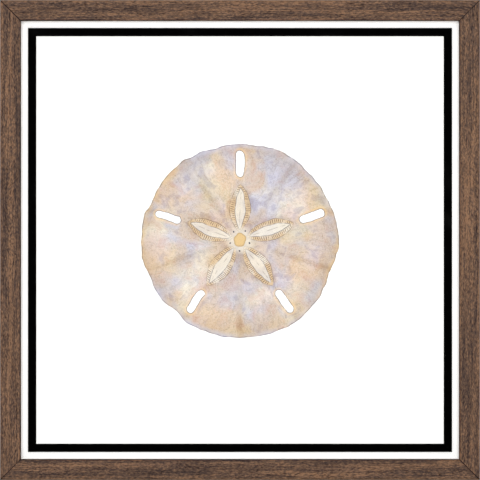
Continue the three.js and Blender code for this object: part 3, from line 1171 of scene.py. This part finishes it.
def bumper_shape(node):
    """A moulded bumper: a thin adhesive disc, then a pad that domes to a small dished face."""
    low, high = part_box(node)
    middle, radius = (low + high) / 2, (high.x - low.x) / 2
    foot = BACK_Y + 0.02 * MM
    profile = [(0.0, foot), (radius - 0.25 * MM, foot), (radius - 0.2 * MM, low.y - 0.04 * MM)]
    profile += [(radius - 0.08 * MM, low.y), (radius, low.y + 0.12 * MM)]
    dome = high.y - low.y - 0.5 * MM
    for turn in range(0, 91, 10):
        angle = math.radians(turn)
        reach = radius - 1.6 * MM * (1 - math.cos(angle))
        profile.append((reach, low.y + 0.5 * MM + dome * math.sin(angle)))
    dished = high.y - 0.18 * MM
    profile += [(radius - 2.0 * MM, high.y - 0.05 * MM), (radius - 2.8 * MM, dished), (0.0, dished)]
    return turned(profile, middle, segments=48)


# ------------------------------------------------------------------------------- studio

FLOOR_HALF = 12.0
CARD_HALF = 1.1
CARD_Y = -5.4
SOFT_BOX_SIDE = 0.7
KEY_Y = -4.6
FILL_Y = 1.2


def studio_floor(tone):
    """A pale painted floor with faint roller marks."""
    surface = Surface("studio_floor")
    surface.place()
    cloud = surface.noise(420, 51, 3.0)
    tint = surface.glaze(tone, cloud.rise(0.35, 0.75) * 0.06, srgb(216, 214, 208))
    return surface.finish(Base_Color=tint, Roughness=0.85 + (cloud - 0.5) * 0.1, Specular_IOR_Level=0.2)


def black_card():
    """Matt black card, with only a little of its weave showing."""
    surface = Surface("black_card")
    surface.place()
    weave = surface.noise(3.0, 52, 2.0)
    tint = surface.mix(weave * 0.2, srgb(3, 3, 3), srgb(9, 9, 9))
    return surface.finish(Base_Color=tint, Roughness=1.0, Specular_IOR_Level=0.0)


def flat_square(name, middle, half, across, upward, material):
    """A one-sided square of stage, about a point, along two directions."""
    corners = []
    for right, up in ((-1, -1), (1, -1), (1, 1), (-1, 1)):
        corners.append(tuple(middle + across * right * half + upward * up * half))
    mesh = bpy.data.meshes.new(name)
    mesh.from_pydata(corners, [], [(0, 1, 2, 3)])
    mesh.materials.append(material)
    made = bpy.data.objects.new(name, mesh)
    bpy.context.scene.collection.objects.link(made)
    return made


def soft_light(name, place, side, power):
    """A square soft box that faces the middle of the frame."""
    data = bpy.data.lights.new(name, "AREA")
    data.shape = "SQUARE"
    data.size = side
    data.energy = power
    made = bpy.data.objects.new(name, data)
    made.location = place
    made.rotation_euler = (CENTRE - Vector(place)).to_track_quat("-Z", "Y").to_euler()
    bpy.context.scene.collection.objects.link(made)
    return made


def aim_camera(distance, outer_ease):
    """A camera square on to the print, with the frame's outer edges on the edges of the view."""
    data = bpy.data.cameras.new("camera")
    arris_y = FRONT_Y + outer_ease
    data.sensor_width = 36.0
    data.lens = data.sensor_width * distance / (2 * HALF)
    data.clip_end = 100.0
    made = bpy.data.objects.new("camera", data)
    made.location = (CENTRE.x, arris_y - distance, CENTRE.z)
    made.rotation_euler = (math.pi / 2, 0, 0)
    bpy.context.scene.collection.objects.link(made)
    bpy.context.scene.camera = made
    return made


def light_world(strength):
    """Even pale light from all round."""
    world = bpy.data.worlds.new("studio")
    world.use_nodes = True
    background = world.node_tree.nodes["Background"]
    background.inputs["Color"].default_value = (1.0, 1.0, 1.0, 1.0)
    background.inputs["Strength"].default_value = strength
    bpy.context.scene.world = world


# ------------------------------------------------------------------------------- operators


class RailsOperator(bpy.types.Operator):
    """Builds the four mitred walnut rails"""

    bl_idname = "framed_print.rails"
    bl_label = "Rails"

    def execute(self, context):
        settings = context.scene.print_moulding
        if settings.rabbet_width >= FACE or settings.lip_depth >= BACK_Y - FRONT_Y:
            raise ValueError("the rabbet is larger than the moulding")
        for side_index, side in enumerate(SIDES):
            shape = rail_shape(side_index, settings)
            mark_raw_wood(shape, side_index, settings)
            finishes = (walnut(side, settings), raw_wood(side, settings))
            finish_piece(f"walnut_rail_{side}", shape, finishes, (f"rail_{side}",))
        return {"FINISHED"}


class GlazingOperator(bpy.types.Operator):
    """Builds the clear sheet over the picture"""

    bl_idname = "framed_print.glazing"
    bl_label = "Glazing"

    def execute(self, context):
        settings = context.scene.print_picture
        shape = slab(*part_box("glazing"), settings.board_ease)
        clear = acrylic(settings.glare)
        finish_piece("acrylic_sheet", shape, (clear,), ("glazing",), FLAT_DEGREES)
        return {"FINISHED"}


class MatsOperator(bpy.types.Operator):
    """Builds the white mat and the black one behind it, with their cut bevels"""

    bl_idname = "framed_print.mats"
    bl_label = "Mats"

    def execute(self, context):
        settings = context.scene.print_picture
        core = mat_core(tuple(settings.mat_core))
        mats = (
            ("outer_mat", "white_mat", settings.white_mat, settings.outer_window, 0.2),
            ("inner_mat", "black_mat", settings.black_mat, settings.inner_window, 0.0),
        )
        for node, name, face, window, specular in mats:
            low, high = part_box(node)
            if window >= high.x - low.x:
                raise ValueError(f"the window of {node} is larger than the mat")
            shape = mat_shape(node, window, high.y - low.y)
            finishes = (mat_board(name, tuple(face), specular), core)
            finish_piece(name, shape, finishes, (node,))
        return {"FINISHED"}


class PrintOperator(bpy.types.Operator):
    """Paints the sand dollar on the print"""

    bl_idname = "framed_print.picture"
    bl_label = "Print"

    def execute(self, context):
        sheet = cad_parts["art_print"]
        sheet.data.materials.clear()
        sheet.data.materials.append(sand_dollar(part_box("art_print"), context.scene.print_picture))
        return {"FINISHED"}


class BackingOperator(bpy.types.Operator):
    """Builds the hardboard behind the print"""

    bl_idname = "framed_print.backing"
    bl_label = "Backing"

    def execute(self, context):
        settings = context.scene.print_picture
        shape = slab(*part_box("backing_board"), settings.board_ease)
        brown = hardboard(settings)
        finish_piece("hardboard_back", shape, (brown,), ("backing_board",), FLAT_DEGREES)
        return {"FINISHED"}


class FastenersOperator(bpy.types.Operator):
    """Sets the framer's points round the backing and the V-nails in the mitres"""

    bl_idname = "framed_print.fasteners"
    bl_label = "Points and V-nails"

    def execute(self, context):
        settings = context.scene.print_hardware
        zinc = plated_metal("zinc_plate", tuple(settings.zinc), srgb(138, 140, 142), 0.3)
        tree = round_the_frame()
        points = [f"framers_point_{side}_{place}" for side in SIDES for place in (1, 2, 3)]
        low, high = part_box("framers_point_top_2")
        middle = (low + high) / 2
        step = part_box("framers_point_top_3")[0].x - low.x
        shape = framers_point_shape(settings)
        values = {
            "Per Group": 3,
            "Group Middle": tuple(middle - CENTRE),
            "Pitch": (step, 0.0, 0.0),
            "Frame Centre": tuple(CENTRE),
            "Largest Turn": settings.turn,
            "Seed": settings.seed,
            "Material": zinc,
        }
        place_piece("framers_points", spread("framers_point", shape, tree, values), points)
        nails = [f"v_nail_{corner}_{row}" for corner in CORNERS for row in ("outer", "inner")]
        reach = HALF - settings.inset
        values["Per Group"] = 2
        values["Group Middle"] = (reach, BACK_Y - CENTRE.y, reach)
        values["Pitch"] = (settings.spacing, 0.0, settings.spacing)
        values["Largest Turn"] = 0.0
        shape = v_nail_shape(settings)
        place_piece("v_nails", spread("v_nail", shape, tree, values), nails)
        return {"FINISHED"}


class HangerOperator(bpy.types.Operator):
    """Builds the sawtooth hanger and its two nails"""

    bl_idname = "framed_print.hanger"
    bl_label = "Hanger"

    def execute(self, context):
        settings = context.scene.print_hardware
        brass = plated_metal("brass_plate", tuple(settings.brass), srgb(150, 118, 66), 0.28)
        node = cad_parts["sawtooth_hanger"]
        finish_piece("brass_hanger", hanger_shape(node), (brass,), ("sawtooth_hanger",))
        plate_lift, plate_thickness = 0.32 * MM, 0.8 * MM
        underside = BACK_Y + plate_lift + plate_thickness
        for side in ("left", "right"):
            shape = nail_shape(f"hanger_nail_{side}", underside)
            name = f"brass_nail_{side}"
            finish_piece(name, shape, (brass,), (f"hanger_nail_{side}",))
        return {"FINISHED"}


class BumpersOperator(bpy.types.Operator):
    """Builds the two rubber bumpers at the bottom of the back"""

    bl_idname = "framed_print.bumpers"
    bl_label = "Bumpers"

    def execute(self, context):
        black = rubber(tuple(context.scene.print_hardware.rubber))
        for side in ("left", "right"):
            shape = bumper_shape(f"bumper_{side}")
            finish_piece(f"rubber_bumper_{side}", shape, (black,), (f"bumper_{side}",))
        return {"FINISHED"}


class StudioOperator(bpy.types.Operator):
    """Sets up the floor, the lights and the camera"""

    bl_idname = "framed_print.studio"
    bl_label = "Studio"

    def execute(self, context):
        settings = context.scene.print_studio
        right, up, back = Vector((1, 0, 0)), Vector((0, 0, 1)), Vector((0, 1, 0))
        floor_middle = Vector((CENTRE.x, 0.0, FRAME_LOW.z))
        floor_finish = studio_floor(tuple(settings.floor))
        floor = flat_square("floor", floor_middle, FLOOR_HALF, right, back, floor_finish)
        floor.visible_glossy = False
        card_middle = Vector((CENTRE.x, CARD_Y, CENTRE.z))
        card = flat_square("black_card", card_middle, CARD_HALF, right, up, black_card())
        card.visible_camera = False
        card.visible_diffuse = False
        card.visible_shadow = False
        light_world(settings.room)
        for name, place, power in (
            ("key_left", (-1.0, KEY_Y, -0.1), settings.key),
            ("key_right", (1.0, KEY_Y, -0.1), settings.key),
            ("key_top", (0.0, KEY_Y, 0.85), settings.key),
            ("fill_left", (-2.3, FILL_Y, 0.7), settings.fill),
            ("fill_right", (2.3, FILL_Y, 0.7), settings.fill),
        ):
            soft_light(name, place, SOFT_BOX_SIDE, power)
        aim_camera(settings.camera_distance, context.scene.print_moulding.outer_ease)
        context.scene.view_settings.view_transform = "Standard"
        return {"FINISHED"}


OPERATORS = (
    RailsOperator,
    GlazingOperator,
    MatsOperator,
    PrintOperator,
    BackingOperator,
    FastenersOperator,
    HangerOperator,
    BumpersOperator,
    StudioOperator,
)


class FramedPrintPanel(bpy.types.Panel):
    """Lists the groups of pieces in the order they are built"""

    bl_idname = "VIEW3D_PT_framed_print"
    bl_label = "Framed Print"
    bl_space_type = "VIEW_3D"
    bl_region_type = "UI"
    bl_category = "Framed Print"

    def draw(self, context):
        for operator in OPERATORS:
            self.layout.operator(operator.bl_idname)


SETTINGS = {
    "print_moulding": MouldingSettings,
    "print_picture": PictureSettings,
    "print_hardware": HardwareSettings,
    "print_studio": StudioSettings,
}
CLASSES = (*SETTINGS.values(), *OPERATORS, FramedPrintPanel)


def register():
    for kind in CLASSES:
        bpy.utils.register_class(kind)
    for name, kind in SETTINGS.items():
        setattr(bpy.types.Scene, name, PointerProperty(type=kind))


def unregister():
    for name in SETTINGS:
        delattr(bpy.types.Scene, name)
    for kind in reversed(CLASSES):
        bpy.utils.unregister_class(kind)


def main():
    register()
    for operator in OPERATORS:
        group, name = operator.bl_idname.split(".")
        getattr(getattr(bpy.ops, group), name)()


if __name__ == "__main__":
    main()
